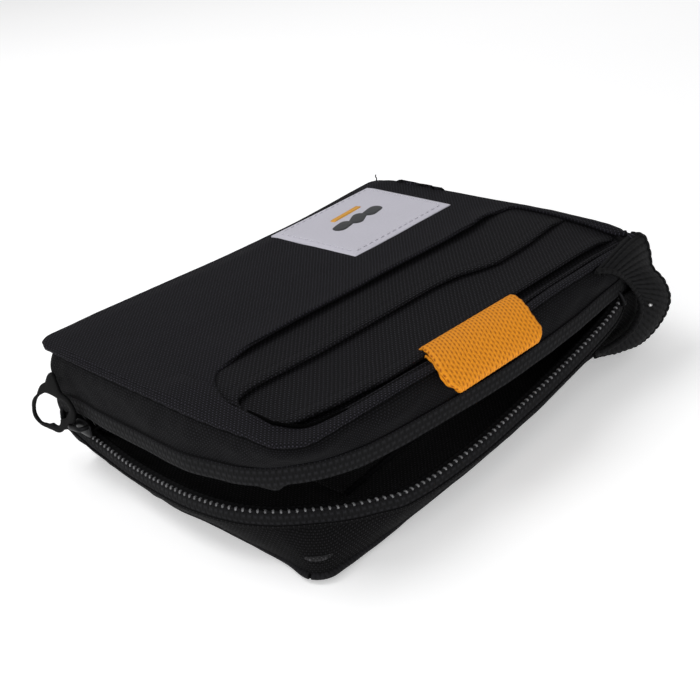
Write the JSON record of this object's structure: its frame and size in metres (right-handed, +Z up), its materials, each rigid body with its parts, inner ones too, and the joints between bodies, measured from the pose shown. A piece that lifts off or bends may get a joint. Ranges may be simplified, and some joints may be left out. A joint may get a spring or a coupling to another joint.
{
  "type": "zippered pouch",
  "caption": "Flat black fabric pouch with an L-shaped zip left open, stepped card slots in the lid, orange webbing pull tab, woven label, zip pull loop and finger loop.",
  "frame": {"origin": "centre of the flat underside, on the surface the pouch lies on", "axes": "+X along the long front side that carries the zip, +Y from the front to the closed back side, +Z up through the lid"},
  "size_m": [0.1232, 0.0986, 0.0305],
  "materials": {
    "black_cordura": "matt woven nylon",
    "black_lining": "plain lining cloth",
    "foam_board": "foam board, hidden",
    "black_binding": "grosgrain binding",
    "zip_tape": "woven zip tape",
    "zip_coil": "nylon coil",
    "dark_metal": "gunmetal plating",
    "black_webbing": "ribbed webbing",
    "orange_webbing": "ribbed webbing",
    "label_satin": "woven satin label",
    "label_mark": "woven mark",
    "label_thread": "sewing thread"
  },
  "bodies": {
    "base": {"back_wall": "black_cordura", "bottom_binding": "black_binding", "bottom_lining": "black_lining", "bottom_panel": "black_cordura", "bottom_stiffener": "foam_board", "card_layer_1_rear": "black_cordura", "card_layer_2_rear": "black_cordura", "card_layer_3_rear": "black_cordura", "finger_loop": "black_webbing", "label_mark": "label_mark", "label_stitches": "label_thread", "lid_binding_rear": "black_binding", "lid_board_rear": "foam_board", "lid_lining_rear": "black_lining", "lower_gusset": "black_cordura", "lower_zip_coil": "zip_coil", "lower_zip_tape": "zip_tape", "pocket_side_seam_rear": "black_cordura", "right_wall": "black_cordura", "slip_pocket": "black_lining", "top_panel_rear": "black_cordura", "woven_label": "label_satin", "zip_stop_front": "dark_metal", "zip_stop_rear": "dark_metal"},
    "lid_flap": {"card_layer_1_flap": "black_cordura", "card_layer_2_flap": "black_cordura", "card_layer_3_flap": "black_cordura", "lid_binding_flap": "black_binding", "lid_board_flap": "foam_board", "lid_lining_flap": "black_lining", "pocket_side_seam_flap": "black_cordura", "top_panel_flap": "black_cordura", "upper_gusset": "black_cordura", "upper_zip_tape": "zip_tape", "upper_zip_coil": "zip_coil"},
    "card_tab": {"pull_tab": "orange_webbing", "pull_strap": "orange_webbing"},
    "slider": {"slider_body": "dark_metal", "slider_bridge": "dark_metal"},
    "loop": {"pull_loop": "black_webbing"}
  },
  "joints": [
    {"name": "lid_fold", "type": "hinge", "parent": "base", "child": "lid_flap", "pos_m": [0.047, -0.0426, 0.0298], "axis": [-0.8084, 0.5886, 0], "range_deg": [-4.5, 40], "stiffness_Nm_per_rad": 0.2},
    {"name": "tab_pull", "type": "slide", "parent": "lid_flap", "child": "card_tab", "axis": [0, -1, 0], "range_m": [0, 0.012]},
    {"name": "slider_travel", "type": "slide", "parent": "base", "child": "slider", "axis": [0, -1, 0], "range_m": [0, 0.048]},
    {"name": "loop_swing", "type": "hinge", "parent": "slider", "child": "loop", "pos_m": [-0.05835, 0.0291, 0.0132], "axis": [0, 0, 1], "range_deg": [0, 160]}
  ]
}
